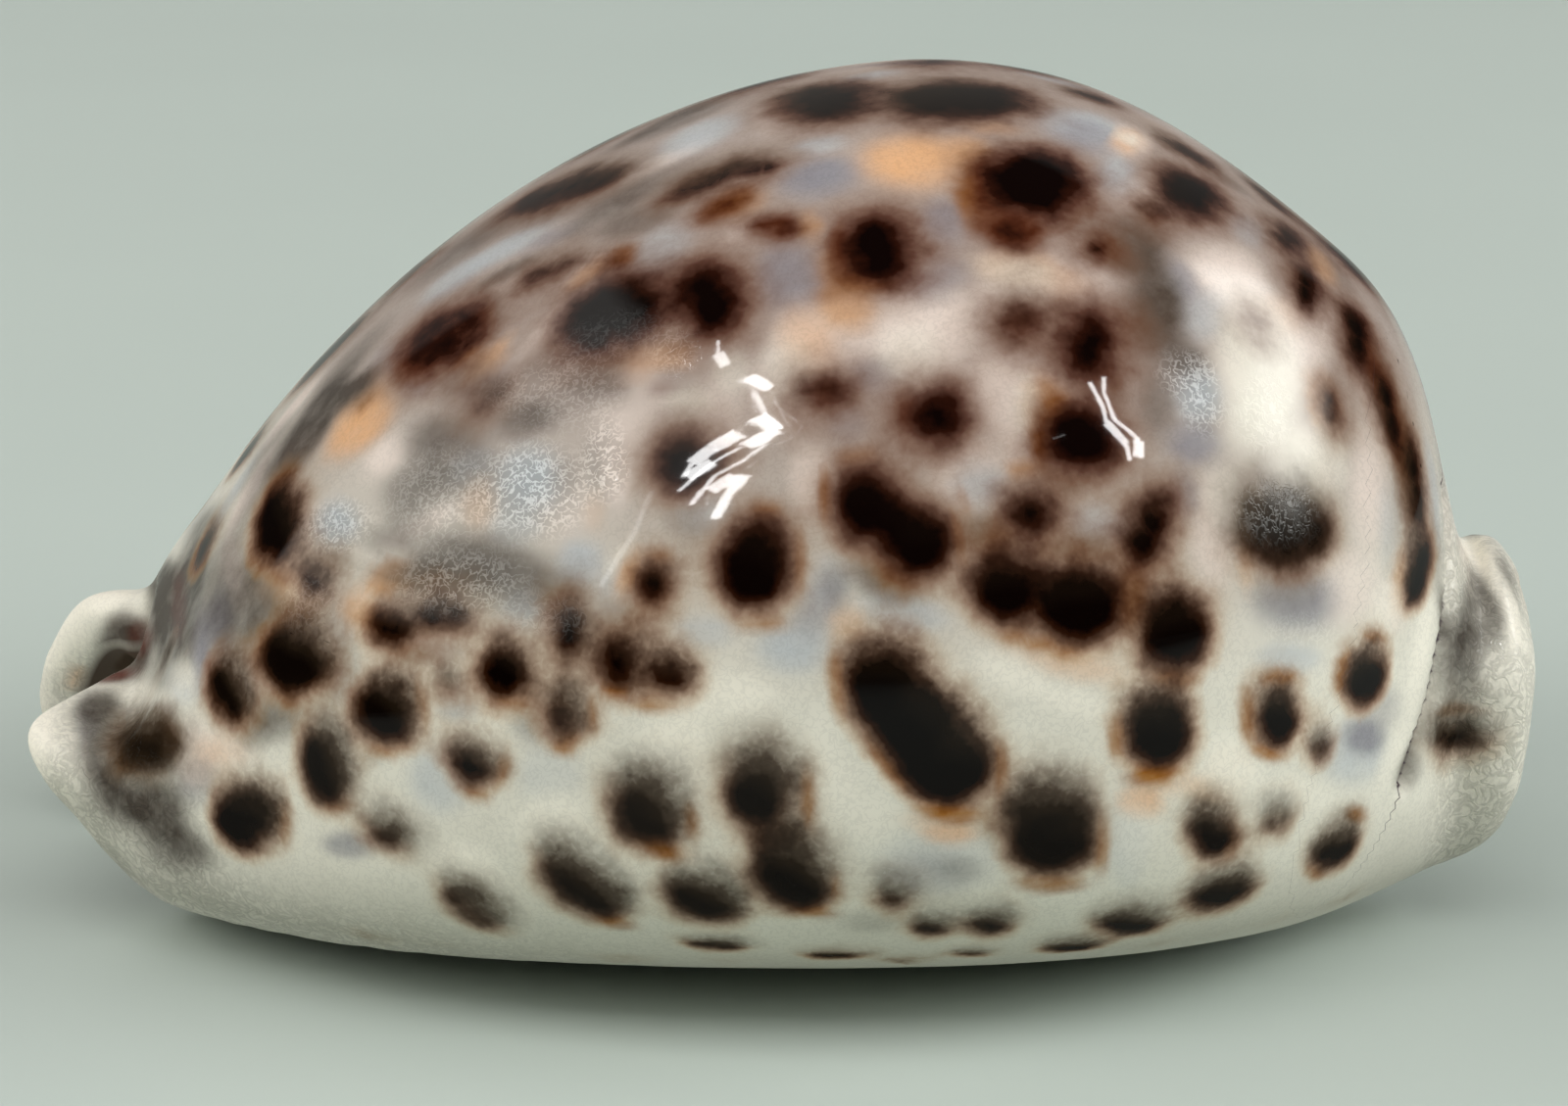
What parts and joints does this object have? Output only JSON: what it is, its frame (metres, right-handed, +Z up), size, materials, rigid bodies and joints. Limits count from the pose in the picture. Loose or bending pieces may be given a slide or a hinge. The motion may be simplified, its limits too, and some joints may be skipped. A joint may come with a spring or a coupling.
{
  "type": "cowrie shell",
  "caption": "Tiger cowrie shell: a glossy, spotted, hollow dome on a flattened base with a toothed slit and a canal at each end.",
  "frame": {"origin": "centre of the base, on the surface the shell rests on", "axes": "+X towards the blunt back end, +Y towards the outer lip, +Z up through the top of the dome"},
  "size_m": [0.087, 0.06, 0.0471],
  "materials": {
    "shell": "naturally glazed aragonite, high gloss"
  },
  "bodies": {
    "root": {"shell": "shell"}
  },
  "joints": []
}
